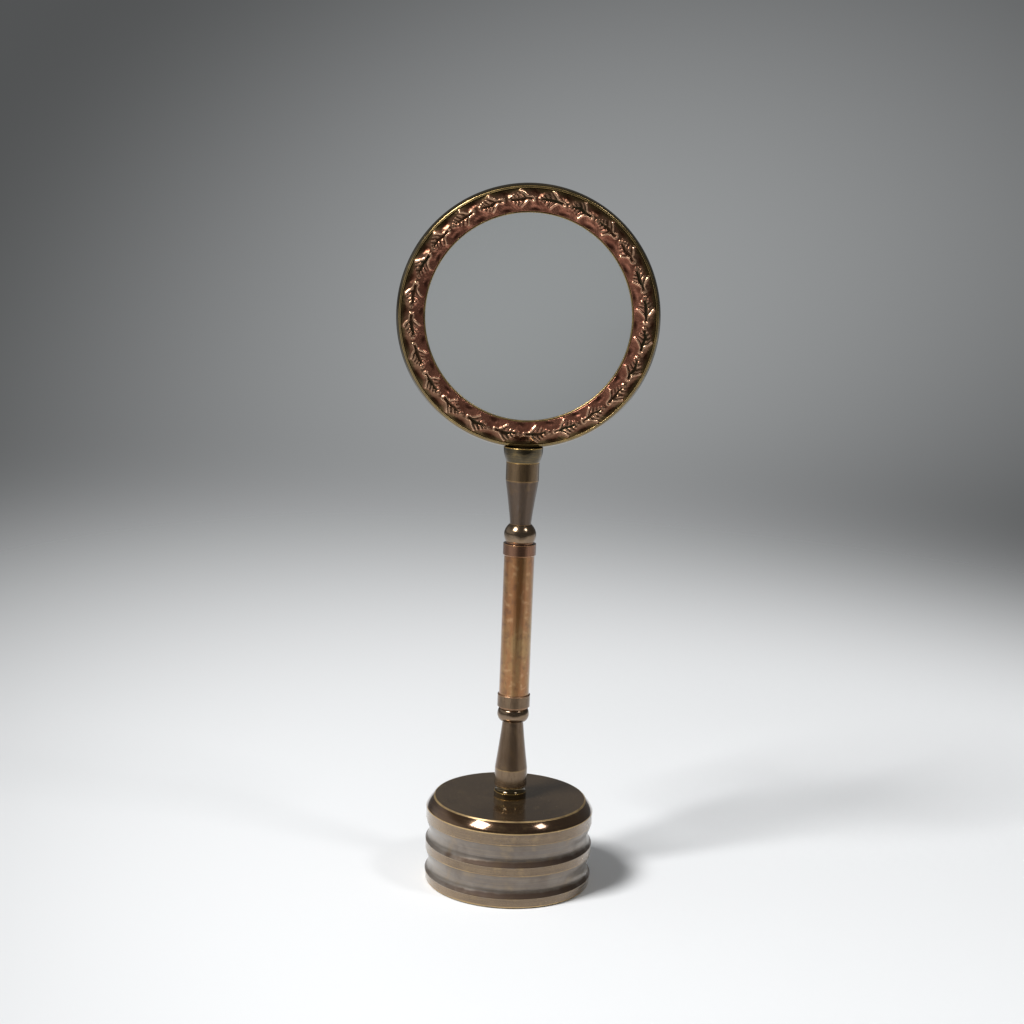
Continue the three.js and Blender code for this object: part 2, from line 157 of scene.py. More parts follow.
def turned(name, rows, around, axle="upright", centre=0, swell=None):
    """The outline turned round its axis: point (i, j) is outline point i at the j-th angle.

    An upright axle is Z, and the height is measured from the table. A level axle is Y, as for the
    hoop, at the height centre, and the outline's height runs to the back. swell gives what is
    added to the radius, from the radius, height and angle. Where the outline meets the axis its
    points are one point. The value lathe is the angle's cosine and sine, and the outline's length.
    """
    angle = np.linspace(0, 2 * math.pi, around, endpoint=False)
    cosine = np.cos(angle)
    sine = np.sin(angle)
    closed = rows[0, 0] > 0
    rows = rows[:-1] if closed else rows
    radius, height, outward, nz, tone, edge, length = np.repeat(rows.T[..., None], around, 2)
    if swell:
        radius = radius + swell(radius, height, angle[None])
    x = radius * cosine
    y = radius * sine
    nx = outward * cosine
    ny = outward * sine
    if axle == "upright":
        points = np.stack([x, y, height], -1)
        normals = np.stack([nx, ny, nz], -1)
    else:
        points = np.stack([x, height, centre - y], -1)
        normals = np.stack([nx, nz, -ny], -1)
    index = np.arange(x.size).reshape(x.shape)
    on_axis = rows[:, 0] == 0
    index[on_axis] = index[on_axis][:, :1]
    above = np.roll(index, -1, 0) if closed else index[1:]
    below = index if closed else index[:-1]
    corners = np.stack([below, np.roll(below, -1, 1), np.roll(above, -1, 1), above], -1).reshape(-1, 4)
    used, where = np.unique(corners, return_inverse=True)
    corners = where.reshape(-1, 4)
    low = corners[:, 0] == corners[:, 1]
    high = corners[:, 2] == corners[:, 3]
    quads = corners[~low & ~high].tolist()
    wedges = corners[low][:, [0, 2, 3]].tolist() + corners[high][:, :3].tolist()
    lathe = np.stack(np.broadcast_arrays(cosine, sine, length * MM), -1)
    return made_mesh(
        name, points.reshape(-1, 3)[used], quads + wedges,
        None if swell else normals.reshape(-1, 3)[used],
        tone=tone.ravel()[used], edge=edge.ravel()[used], lathe=lathe.reshape(-1, 3)[used],
    )


def dress(piece, material):
    """Gives a piece, or a CAD node, that material alone."""
    piece.data.materials.clear()
    piece.data.materials.append(material)


def paint(color):
    """A colour of three 0 to 255 steps as the shader's linear colour. Any other is left as it is."""
    if isinstance(color, Wire) or len(color) == 4:
        return color
    steps = np.array(color) / 255
    linear = np.where(steps > 0.04045, ((steps + 0.055) / 1.055) ** 2.4, steps / 12.92)
    return (*linear.tolist(), 1)


class Wire:
    """The output of a shader node. Arithmetic on it adds Math nodes."""

    def __init__(self, finish, socket):
        self.finish = finish
        self.socket = socket

    def _math(self, operation, first, second):
        return self.finish.node("Math", {"operation": operation}, {0: first, 1: second})

    def __add__(self, other):
        return self._math("ADD", self, other)

    __radd__ = __add__

    def __mul__(self, other):
        return self._math("MULTIPLY", self, other)

    __rmul__ = __mul__

    def __sub__(self, other):
        return self._math("SUBTRACT", self, other)

    def __rsub__(self, other):
        return self._math("SUBTRACT", other, self)

    def __pow__(self, other):
        return self._math("POWER", self, other)

    def at_least(self, other):
        return self._math("MAXIMUM", self, other)


class Finish:
    """A procedural material with one principled surface, or the tree of another shader."""

    def __init__(self, name, tree=None, **constants):
        if tree is None:
            self.material = bpy.data.materials.new(name)
            self.material.use_nodes = True
            tree = self.material.node_tree
        self.tree = tree
        self.surface = tree.nodes.get("Principled BSDF")
        for socket, value in constants.items():
            self.surface.inputs[socket.replace("_", " ")].default_value = value

    def feed(self, socket, value):
        if isinstance(value, Wire):
            self.tree.links.new(value.socket, socket)
        else:
            socket.default_value = value

    def node(self, kind, settings=None, inputs=None, output=0):
        """Adds a shader node: its settings first, then the values or wires of its sockets."""
        node = self.tree.nodes.new("ShaderNode" + kind)
        for key, value in (settings or {}).items():
            setattr(node, key, value)
        for key, value in (inputs or {}).items():
            self.feed(node.inputs[key], value)
        return Wire(self, node.outputs[output])

    def attribute(self, name, output="Fac"):
        return self.node("Attribute", {"attribute_name": name}, output=output)

    def parts(self, vector):
        """The three numbers of a vector."""
        first = self.node("SeparateXYZ", None, {0: vector})
        return [Wire(self, socket) for socket in first.socket.node.outputs]

    def noise(self, scale, detail=3, roughness=0.55, vector=None):
        """Noise on Object coordinates or another vector. scale is a number, or one for each axis."""
        vector = vector or self.node("TexCoord", output="Object")
        if isinstance(scale, tuple):
            vector = self.node("VectorMath", {"operation": "MULTIPLY"}, {0: vector, 1: scale})
            scale = 1
        inputs = {"Vector": vector, "Scale": scale, "Detail": detail, "Roughness": roughness}
        return self.node("TexNoise", None, inputs)

    def rise(self, value, low, high):
        """0 below low and 1 above high, with a smooth step between."""
        settings = {"interpolation_type": "SMOOTHSTEP"}
        return self.node("MapRange", settings, {"Value": value, "From Min": low, "From Max": high})

    def mix(self, factor, first, second):
        inputs = {0: factor, 6: paint(first), 7: paint(second)}
        return self.node("Mix", {"data_type": "RGBA"}, inputs, output=2)

    def coated(self, color, *coats):
        """The colour under coats of (mask, colour), each over those before it."""
        for mask, coat in coats:
            color = self.mix(mask, color, coat)
        return color

    def bump(self, height, depth):
        """A bump whose height of 1 is depth, in millimetres."""
        normal = self.node("Bump", None, {"Height": height, "Distance": depth * MM, "Strength": 1})
        self.feed(self.surface.inputs["Normal"], normal)

    def end(self, color=None, rough=None, metal=None):
        for socket, value in (("Base Color", color), ("Roughness", rough), ("Metallic", metal)):
            if value is not None:
                self.feed(self.surface.inputs[socket], value)
        return self.material


def turned_brass(name, polished, plain, bloom, gold, stain, gloss, metal=(0.95, 0.8), coat=0.4,
                 worn=0.6, lengthwise=0.0, shaded_side=(0, 0, 0)):
    """Lacquered brass off the lathe, in colours of 0 to 255 steps.

    The tone at a point goes from polished through plain to bloom, then to stain. Edges that stand
    out are worn to gold, hollow ones hold the stain. Fine rings or lengthwise marks from the last
    cut, clouds in the lacquer and small specks vary the colour and the gloss. gloss is the
    roughness and metal the metallic share, each at the polished end and the dull one. The last
    argument points, from the axle, to a side that is painted darker and browner, where the stain of
    the hollows also reaches further: painted shade where the metal mirrors the dark room in front.
    """
    finish = Finish(name, IOR=1.5, Coat_Roughness=0.1)
    lathe = finish.attribute("lathe", "Vector")
    tone = finish.attribute("tone")
    edge = finish.attribute("edge")
    cloud = finish.noise(70, 4, 0.6)
    patch = finish.noise(210, 3, 0.5)
    speck = finish.noise(1500, 2, 0.7)
    rings = finish.noise((1.3, 1.3, 2400), 3, 0.65, lathe)
    along = finish.noise((16, 16, 200), 4, 0.7, lathe)
    marks = rings * (1 - lengthwise) + along * lengthwise
    # One side, given by the last argument, is painted darker and browner, and the stain of its hollows
    # reaches further there: painted shade where the metal mirrors the dark room in front.
    toward_shaded_side = finish.node("VectorMath", {"operation": "DOT_PRODUCT"}, {0: lathe, 1: shaded_side}, output="Value")
    side_shade = finish.rise(toward_shaded_side + (patch - 0.5) * 0.8, 0.3, 1.1)
    dull = finish.rise(tone, 0, 0.5)
    matt = finish.rise(tone + (cloud - 0.5) * 0.5, 0.55, 1.0)
    deep = finish.rise(tone + (patch - 0.5) * 0.15 + side_shade * 0.3, 1.28, 1.68)
    rubbed = finish.rise(edge + (patch - 0.5) * 0.8 + (cloud - 0.5) * 0.6, 0.45, 1.05)
    bare = rubbed * (1 - finish.rise(tone, 1.0, 1.4)) * worn
    color = finish.coated(
        finish.mix(dull, polished, plain),
        (matt, bloom),
        (finish.rise(cloud, 0.52, 0.72) * 0.35, stain),
        (finish.rise(0 - cloud, -0.46, -0.3) * matt * 0.3, (122, 124, 130)),
        # Painted shade in the stain's colour on the side that mirrors the dark room in front.
        (side_shade * 0.5, stain),
        (finish.rise(patch, 0.55, 0.75) * 0.14, gold),
        (finish.rise(marks, 0.35, 0.75) * 0.12, gold),
        (finish.rise(along, 0.5, 0.64) * (0.65 * lengthwise), stain),
        (deep * 0.8, stain),
        (finish.rise(0 - edge + (patch - 0.5) * 0.6, 0.35, 1.0) * 0.7, stain),
        (finish.rise(speck, 0.64, 0.78) * 0.35, stain),
        (bare, gold),
    )
    rough = gloss[0] + (gloss[1] - gloss[0]) * (dull * 0.6 + matt * 0.4)
    rough = rough + (marks - 0.5) * 0.1 + (patch - 0.5) * 0.12
    rough = rough + bare * 0.26 + deep * 0.25 + finish.rise(speck, 0.6, 0.8) * 0.1
    metallic = (metal[0] + (metal[1] - metal[0]) * dull) * (1 - bare * 0.15)
    finish.feed(finish.surface.inputs["Coat Weight"], (1 - bare) * (1 - deep) * (1 - matt * 0.5) * coat)
    finish.bump(marks * 0.7 + speck * 0.25 + patch * 1.2, LATHE_MARK)
    return finish.end(color, rough, metallic)


def cove_side(foot, height):
    """A cove from its lower edge up.

    A quarter sine goes into the drum, and half a cosine comes slowly back out to a small step.
    """
    inward = np.linspace(0, 1, 15)[1:]
    outward = np.linspace(0, 1, 25)[1:-1]
    deepest = COVE_DEEPEST * height
    out = COVE_DEPTH - COVE_STEP
    return [
        (BAND, foot - 0.4, 0, PLAIN),
        (BAND, foot, 0.22, DARK),
        *curved_side(BAND - COVE_DEPTH * np.sin(math.pi / 2 * inward), foot + deepest * inward,
                     DARK - (DARK - SATIN) * np.clip((inward - 0.3) / 0.4, 0, 1)),
        *curved_side(BAND - COVE_DEPTH + out * (1 - np.cos(math.pi * outward)) / 2,
                     foot + deepest + (height - deepest) * outward, SATIN),
        (BAND - COVE_STEP, foot + height, 0.06, SATIN),
        (BAND, foot + height + 0.02, 0.12, PLAIN),
    ]


def shoulder_side():
    """The shoulder from the band up to the disc, nearly a straight cone.

    The slope from upright at the share t of its length is 24 degrees and 22 times t ** 0.6, and
    the curve is stretched a little to end at the disc.
    """
    share = (np.arange(SHOULDER_STEPS) + 0.5) / SHOULDER_STEPS
    slope = np.radians(24 + 22 * share ** 0.6)
    inward = np.cumsum(np.sin(slope))
    rise = np.cumsum(np.cos(slope))
    height = DRUM_TOP - SHOULDER_EDGE - SHOULDER_FOOT
    return curved_side(BAND - (BAND - DISC) * inward[:-1] / inward[-1],
                       SHOULDER_FOOT + height * rise[:-1] / rise[-1], POLISHED)


drum_shell = turned("drum_shell", outlined([
    (BAND - FOOT_TAPER, DRUM_FOOT, 0.3, PLAIN),
    *cove_side(*COVES[0]),
    *cove_side(*COVES[1]),
    (BAND, SHOULDER_FOOT, 0.22, PLAIN),
    *shoulder_side(),
    (DISC, DRUM_TOP - SHOULDER_EDGE, 0.12, BRUSHED),
    (DISC - SHOULDER_EDGE, DRUM_TOP, 0.12, BRUSHED),
    (FLANGE_ROOM, DRUM_TOP, 0.1, BRUSHED),
    (FLANGE_ROOM, FLANGE_LEDGE, 0.1, PLAIN),
    (SLEEVE + FIT, FLANGE_LEDGE, 0.1, PLAIN),
    (SLEEVE + FIT, DRUM_CEILING, 0.2, PLAIN),
    (DRUM_BORE, DRUM_CEILING, 0.5, PLAIN),
    (DRUM_BORE, DRUM_FOOT, 0.2, PLAIN),
], spacing=0.5, halo=0.26), around=320)
# The drum's front is painted darker and browner: painted shade where it mirrors the dark room in front.
dress(drum_shell, turned_brass(
    "drum_brass", polished=(106, 76, 52), plain=(138, 116, 90), bloom=(146, 138, 130), gold=(216, 184, 130),
    stain=(58, 38, 24), gloss=(0.12, 0.36), metal=(0.85, 0.75), coat=1.0, worn=0.75, shaded_side=(0.2, -0.98, 0),
))
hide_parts("base_shell")
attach(drum_shell, "base")

# Threaded sleeve
# A brass sleeve stands in the middle of the drum, flush with its top, and takes the stud of the
# handle. Its thread is a coarse right-hand one.

STUD = 3.15
THREAD_PITCH = 1.27
THREAD_DEPTH = 0.62
THREAD_FLANK = 1.35
SLEEVE_FOOT = 3.0
SLEEVE_LEAD = 0.8
SLEEVE_MOUTH = 0.35


def thread(height, angle):
    """0 at the root and 1 at the crest of a right-hand thread, which climbs one pitch in a turn.

    It is a triangle wave, made steeper about its middle by the flank and cut flat at 0 and 1.
    """
    share = (height / THREAD_PITCH - angle / (2 * math.pi)) % 1
    wave = 1 - np.abs(2 * share - 1)
    return np.clip((wave - 0.5) * THREAD_FLANK + 0.5, 0, 1)


def thread_run(height, low, high, lead):
    """1 between low and high, and a straight slope down to 0 over the lead at both ends."""
    return np.clip((height - low) / lead, 0, 1) * np.clip((high - height) / lead, 0, 1)


def sleeve_thread(radius, height, angle):
    """The sleeve's bore comes in between the stud's crests, and fades out at both mouths."""
    inside = radius < STUD + FIT + 0.05
    run = thread_run(height, SLEEVE_FOOT, DRUM_TOP - 0.3, SLEEVE_LEAD)
    return -THREAD_DEPTH * inside * run * (1 - thread(height, angle))


drum_sleeve = turned("drum_sleeve", outlined([
    (STUD + FIT, SLEEVE_FOOT, 0.1, PLAIN),
    (SLEEVE, SLEEVE_FOOT, 0.2, PLAIN),
    (SLEEVE, FLANGE_SEAT, 0.1, PLAIN),
    (FLANGE, FLANGE_SEAT, 0.1, PLAIN),
    (FLANGE, DRUM_TOP, 0.12, POLISHED),
    (STUD + FIT + SLEEVE_MOUTH, DRUM_TOP, 0.1, POLISHED),
    (STUD + FIT, DRUM_TOP - SLEEVE_MOUTH, 0.08, PLAIN),
], spacing=0.14), around=96, swell=sleeve_thread)
dress(drum_sleeve, turned_brass(
    "sleeve_brass", polished=(150, 124, 82), plain=(168, 138, 88), bloom=(138, 129, 120),
    gold=(222, 184, 112), stain=(62, 44, 28), gloss=(0.2, 0.35),
))
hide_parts("base_sleeve")
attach(drum_sleeve, "base")

# Iron weight
# A raw casting fills the drum and makes it steady. Its skin is grainy and blackened.

iron = Finish("ballast_iron", Metallic=0.7)
iron_grain = iron.noise(900, 4, 0.7)
iron_cloud = iron.noise(120)
iron_color = iron.mix(iron.rise(iron_cloud, 0.4, 0.7), (70, 68, 66), (96, 72, 56))
iron.bump(iron_grain, 0.15)
dress(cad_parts["ballast_weight"], iron.end(iron_color, 0.6 + iron_grain * 0.3))

# Steel fasteners
# The nut and washer on the sleeve, the three screws of the cover plate, the tie rod's nut and the
# spigot of the hoop are plain turned steel with a little brown on it.

steel = Finish("plain_steel", Metallic=1)
steel_marks = steel.noise((300, 300, 4000), 3, 0.6)
steel_rust = steel.rise(steel.noise(260, 4, 0.6), 0.55, 0.75)
steel_color = steel.mix(steel_rust * 0.6, (168, 167, 163), (112, 88, 66))
steel.bump(steel_marks, 0.01)
steel_finish = steel.end(steel_color, 0.28 + steel_marks * 0.15 + steel_rust * 0.25)
for node in ("ballast_nut", "ballast_washer", "plate_screw_1", "plate_screw_2", "plate_screw_3",
             "tie_nut", "hoop_spigot"):
    dress(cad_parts[node], steel_finish)

# Cover plate
# A brass disc closes the drum below, under the pad. It is left as rolled, with a dull tarnish.

plate = Finish("plate_brass", Metallic=1)
plate_cloud = plate.noise(90, 4, 0.6)
plate_grain = plate.noise((60, 1500, 60), 3, 0.6)
plate_color = plate.mix(plate.rise(plate_cloud, 0.35, 0.7), (150, 122, 78), (92, 74, 50))
plate.bump(plate_grain, 0.01)
dress(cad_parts["base_plate"], plate.end(plate_color, 0.3 + plate_grain * 0.2))

# Felt pad
# A disc of green wool felt is glued under the plate. Its edge is cut with a punch and is a
# little fuzzy, and its face is pressed flat by the weight of the drum.

PAD = 27.9
PAD_TOP = 1.2
PAD_RIM = 1.2


def felt_waves(radius, height, angle):
    """The cut edge wanders by two sine waves round the disc, which die away inside its rim."""
    rim = np.clip((radius - PAD + PAD_RIM) / PAD_RIM, 0, 1)
    return rim * (0.05 * np.sin(23 * angle) + 0.04 * np.sin(57 * angle + height * 3))


felt_pad = turned("felt_pad", outlined([
    (0, 0, 0, 0),
    (PAD, 0, 0.25, 0),
    (PAD, PAD_TOP, 0.2, 0),
    (0, PAD_TOP, 0, 0),
], spacing=0.7), around=240, swell=felt_waves)
felt = Finish("green_felt", Roughness=1, Sheen_Weight=0.4, Sheen_Roughness=0.5)
felt_fibre = felt.noise(2600, 5, 0.75)
felt_cloud = felt.noise(110)
felt_color = felt.mix(felt_fibre, (28, 52, 36), (74, 104, 76))
felt_color = felt.mix(felt.rise(felt_cloud, 0.45, 0.75) * 0.4, felt_color, (84, 92, 70))
felt.bump(felt_fibre, 0.25)
dress(felt_pad, felt.end(felt_color))
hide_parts("base_pad")
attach(felt_pad, "base")

# Foot collar
# A small turned ring lies loose between the drum and the handle. Its wall stands straight, then
# sweeps in to the neck, and a bright edge runs where the two meet.

COLLAR = 6.05
COLLAR_NECK = 4.9
COLLAR_FOOT = 32.32
COLLAR_SHOULDER = 34.8
COLLAR_TOP = 36.6
ROD_BORE = 2.5
quarter = math.pi / 2 * np.linspace(0, 1, 15)[1:-1]
foot_sweep = curved_side(COLLAR - (COLLAR - COLLAR_NECK) * np.sin(quarter) ** 0.9,
                         COLLAR_SHOULDER + (COLLAR_TOP - COLLAR_SHOULDER) * (1 - np.cos(quarter)), POLISHED)
foot_ring = turned("foot_ring", outlined([
    (ROD_BORE, COLLAR_FOOT, 0.1, PLAIN),
    (COLLAR, COLLAR_FOOT, 0.12, POLISHED),
    (COLLAR, COLLAR_SHOULDER, 0.1, POLISHED),
    *foot_sweep,
    (COLLAR_NECK, COLLAR_TOP, 0.06, POLISHED),
    (ROD_BORE, COLLAR_TOP, 0.1, PLAIN),
], spacing=0.25, halo=0.2), around=128)
dark_bronze = dict(plain=(112, 94, 66), bloom=(120, 108, 92), gold=(226, 186, 110), stain=(44, 32, 22))
dress(foot_ring, turned_brass(
    "foot_bronze", polished=(96, 82, 60), **dark_bronze, gloss=(0.1, 0.25)))
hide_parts("foot_collar")
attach(foot_ring, "collar")

# Tie rod
# A steel rod runs up through the handle and holds its pieces together. Its foot is the threaded
# stud that screws into the drum.

ROD = 2.2
ROD_TOP = 144.2
STUD_TOP = 32.3
STUD_FOOT = 22.3
STUD_POINT = 0.5
STUD_LEAD = 0.6


def stud_thread(radius, height, angle):
    """The stud's thread is cut into it, and fades out at both ends."""
    stud = radius > (ROD + STUD) / 2
    run = thread_run(height, STUD_FOOT, STUD_TOP, STUD_LEAD)
    return -THREAD_DEPTH * stud * run * (1 - thread(height, angle))


stud_rod = turned("stud_rod", outlined([
    (0, STUD_FOOT, 0, PLAIN),
    (STUD - STUD_POINT, STUD_FOOT, 0.1, PLAIN),
    (STUD, STUD_FOOT + STUD_POINT, 0.1, PLAIN),
    (STUD, STUD_TOP, 0.1, PLAIN),
    (ROD, STUD_TOP + 0.1, 0.1, PLAIN),
    (ROD, ROD_TOP, 0.3, PLAIN),
    (0, ROD_TOP, 0, PLAIN),
], spacing=0.14), around=72, swell=stud_thread)
dress(stud_rod, turned_brass(
    "rod_steel", polished=(150, 148, 143), plain=(140, 137, 131), bloom=(120, 114, 106), gold=(190, 188, 182),
    stain=(84, 64, 46), gloss=(0.25, 0.4),
))
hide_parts("tie_rod")
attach(stud_rod, "hand_glass")

# Balusters
# Two turned brass pieces, one the other way up, taper from a plain band to a thin neck. Their
# tapers are drawn lengthwise with fine paper, which leaves upright marks in the brown lacquer.

BALUSTER = 6.05
NECK = 3.85
TAPER_HOLLOW = 1.15
LOWER_SEAT = 36.9
LOWER_BAND_TOP = 43.6
LOWER_TOP = 61.9
UPPER_SEAT = 136.2
UPPER_BAND_FOOT = 152.6
UPPER_TOP = 159.15
BAND_EDGE = 0.25
NUT_POCKET = 4.11
NUT_POCKET_TOP = 39.6
ROD_HOLE_TOP = 144.5
SPIGOT_BORE = 1.8
share = np.linspace(0, 1, 25)[1:-1]
taper = NECK + (BALUSTER - NECK) * (1 - share) ** TAPER_HOLLOW
lower_side = curved_side(taper, LOWER_BAND_TOP + (LOWER_TOP - LOWER_BAND_TOP) * share, SATIN)
upper_side = curved_side(taper, UPPER_BAND_FOOT - (UPPER_BAND_FOOT - UPPER_SEAT) * share, SATIN)[::-1]
lower_turning = turned("lower_turning", outlined([
    (NUT_POCKET, LOWER_SEAT, 0.1, PLAIN),
    (BALUSTER - BAND_EDGE, LOWER_SEAT, 0.1, PLAIN),
    (BALUSTER, LOWER_SEAT + BAND_EDGE, 0.1, PLAIN),
    (BALUSTER, LOWER_BAND_TOP, 0.25, PLAIN),
    *lower_side,
    (NECK, LOWER_TOP, 0.08, SATIN),
    (ROD_BORE, LOWER_TOP, 0.1, PLAIN),
    (ROD_BORE, NUT_POCKET_TOP, 0.1, PLAIN),
    (NUT_POCKET, NUT_POCKET_TOP, 0.1, PLAIN),
], spacing=0.4, halo=0.25), around=128)
upper_turning = turned("upper_turning", outlined([
    (ROD_BORE, UPPER_SEAT, 0.1, PLAIN),
    (NECK, UPPER_SEAT, 0.08, SATIN),
    *upper_side,
    (BALUSTER, UPPER_BAND_FOOT, 0.25, PLAIN),
    (BALUSTER, UPPER_TOP, 0.1, PLAIN),
    (SPIGOT_BORE, UPPER_TOP, 0.1, PLAIN),
    (SPIGOT_BORE, ROD_HOLE_TOP, 0.1, PLAIN),
    (ROD_BORE, ROD_HOLE_TOP, 0.1, PLAIN),
], spacing=0.4, halo=0.25), around=128)
taper_brass = turned_brass(
    "taper_brass", polished=(104, 88, 70), plain=(122, 102, 80), bloom=(112, 92, 74), gold=(206, 166, 104),
    stain=(66, 42, 26), gloss=(0.14, 0.2), lengthwise=0.8, worn=0.35)
# The upper taper gets a darker copy of the taper brass: painted shade.
shaded_upper_brass = turned_brass(
    "shaded_upper_taper_brass", polished=(84, 70, 54), plain=(112, 90, 64), bloom=(88, 74, 64), gold=(196, 152, 92),
    stain=(46, 34, 24), gloss=(0.14, 0.2), lengthwise=0.7, worn=0.35)
for piece, node, finish in (
        (lower_turning, "lower_baluster", taper_brass), (upper_turning, "upper_baluster", shaded_upper_brass)):
    dress(piece, finish)
    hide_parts(node)
    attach(piece, "hand_glass")

# Beads
# A rounded brass ring stands at the neck of each taper. The lower one is widest near its middle,
# the upper one below it.

BEAD = 5.9
LOWER_BEAD_TOP = 66.8
UPPER_BEAD_FOOT = 129.8


def bead_ring(name, foot, top, low, high, widest, power):
    """A ring between the heights low and high.

    From its foot to its top radius the side swells as that power of a sine, and is widest at that
    share of its height.
    """
    share = np.linspace(0, 1, 37)[1:-1]
    phase = np.where(share < widest, share / widest, 1 + (share - widest) / (1 - widest)) / 2
    end = np.where(share < widest, foot, top)
    side = end + (BEAD - end) * np.abs(np.sin(math.pi * phase)) ** power
    return turned(name, outlined([
        (ROD_BORE, low, 0.1, PLAIN),
        (foot, low, 0.05, POLISHED),
        *curved_side(side, low + (high - low) * share, POLISHED),
        (top, high, 0.05, POLISHED),
        (ROD_BORE, high, 0.1, PLAIN),
    ], spacing=0.3, halo=0.15), around=128)


bead_brass = turned_brass(
    "bead_brass", polished=(128, 108, 88), plain=(116, 92, 68), bloom=(130, 118, 104), gold=(206, 166, 104),
    stain=(74, 42, 26), gloss=(0.2, 0.3), worn=0.3)
lower_bead = bead_ring(
    "lower_bead_ring", foot=4.3, top=4.9, low=LOWER_TOP, high=LOWER_BEAD_TOP, widest=0.52, power=0.5)
upper_bead = bead_ring(
    "upper_bead_ring", foot=5.3, top=4.0, low=UPPER_BEAD_FOOT, high=UPPER_SEAT, widest=0.42, power=0.8)
for piece, node in ((lower_bead, "lower_bead"), (upper_bead, "upper_bead")):
    dress(piece, bead_brass)
    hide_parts(node)
    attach(piece, "hand_glass")

# Ferrules
# A bronze ring closes each end of the tube, with a plug inside it, a groove towards the bead and
# a chamfer towards the tube that is rubbed bright.

FERRULE = 6.05
GROOVE = 5.1
GROOVE_HEIGHT = 0.7
CHAMFER = 0.3
PLUG = 4.4
PLUG_LENGTH = 6.0


def ferrule(name, foot, wall, up):
    """A ferrule from the foot of its groove. up is 1 for the lower one and -1 for the upper one."""
    end = GROOVE_HEIGHT + wall
    corners = [
        (ROD_BORE, 0, 0.1),
        (GROOVE, 0, 0.05),
        (GROOVE, GROOVE_HEIGHT, 0.05),
        (FERRULE, GROOVE_HEIGHT, 0.1),
        (FERRULE, end - CHAMFER, 0.06),
        (FERRULE - CHAMFER, end, 0.05),
        (PLUG, end, 0.05),
        (PLUG, end + PLUG_LENGTH, 0.1),
        (ROD_BORE, end + PLUG_LENGTH, 0.1),
    ]
    placed = [(radius, foot + up * height, rounding, POLISHED) for radius, height, rounding in corners]
    return turned(name, outlined(placed[::up], spacing=0.3, halo=0.2), around=128)


lower_ferrule = ferrule("lower_ferrule_ring", LOWER_BEAD_TOP, wall=4.8, up=1)
upper_ferrule = ferrule("upper_ferrule_ring", UPPER_BEAD_FOOT, wall=4.4, up=-1)
dress(lower_ferrule, turned_brass(
    "lower_ferrule_bronze", polished=(118, 98, 76), plain=(118, 98, 76), bloom=(118, 98, 76),
    gold=(214, 162, 122), stain=(62, 44, 30), gloss=(0.2, 0.3), lengthwise=0.9, worn=0.5))
dress(upper_ferrule, turned_brass(
    "upper_ferrule_bronze", polished=(138, 98, 76), plain=(138, 98, 76), bloom=(138, 98, 76),
    gold=(206, 156, 106), stain=(50, 30, 20), gloss=(0.16, 0.28), lengthwise=0.6, worn=0.5))
for piece, node in ((lower_ferrule, "lower_ferrule"), (upper_ferrule, "upper_ferrule")):
    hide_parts(node)
    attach(piece, "hand_glass")

# Handle tube
# The grip is a drawn copper tube with an even brown tarnish. It has faint rings from handling, and
# small dark spots.

TUBE = 5.6
TUBE_BORE = 4.7
TUBE_FOOT = 72.3
TUBE_TOP = 124.7
tube = turned("copper_tube", outlined([
    (TUBE_BORE, TUBE_FOOT, 0.1, PLAIN),
    (TUBE, TUBE_FOOT, 0.1, PLAIN),
    (TUBE, TUBE_TOP, 0.1, PLAIN),
    (TUBE_BORE, TUBE_TOP, 0.1, PLAIN),
], spacing=0.5, halo=0.3), around=144)
copper = Finish("aged_copper", Metallic=0.82, IOR=1.5, Coat_Weight=0.9, Coat_Roughness=0.06)
copper_lathe = copper.attribute("lathe", "Vector")
copper_cloud = copper.noise((130, 130, 45.5), 4, 0.6)
copper_draw = copper.noise((20, 20, 16), 3, 0.55, copper_lathe)
copper_rings = copper.noise((2, 2, 420), 2, 0.6, copper_lathe)
copper_spots = copper.noise(1100, 2, 0.6)
copper_color = copper.coated(
    copper.mix(copper.rise(copper_cloud, 0.38, 0.62), (166, 130, 80), (158, 104, 56)),
    (copper.rise(copper_draw, 0.4, 0.8) * 0.3, (150, 98, 56)),
    (copper.rise(copper_rings, 0.55, 0.68) * 0.5, (112, 70, 40)),
    (copper.rise(0 - copper_rings, -0.43, -0.32) * 0.4, (212, 170, 124)),
    (copper.rise(copper_spots, 0.68, 0.76) * 0.6, (70, 46, 30)),
)
copper.bump(copper_draw * 0.6 + copper_cloud + copper_spots * 0.3, 0.006)
dress(tube, copper.end(copper_color, 0.12 + (copper_draw - 0.5) * 0.08 + copper_cloud * 0.08))
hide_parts("handle_tube")
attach(tube, "hand_glass")

# Hoop
# The frame of the glass is a brass ring with a rounded outside. In front it has a narrow bright
# face that falls a little outwards, the border's channel, and a thin lip round the opening.

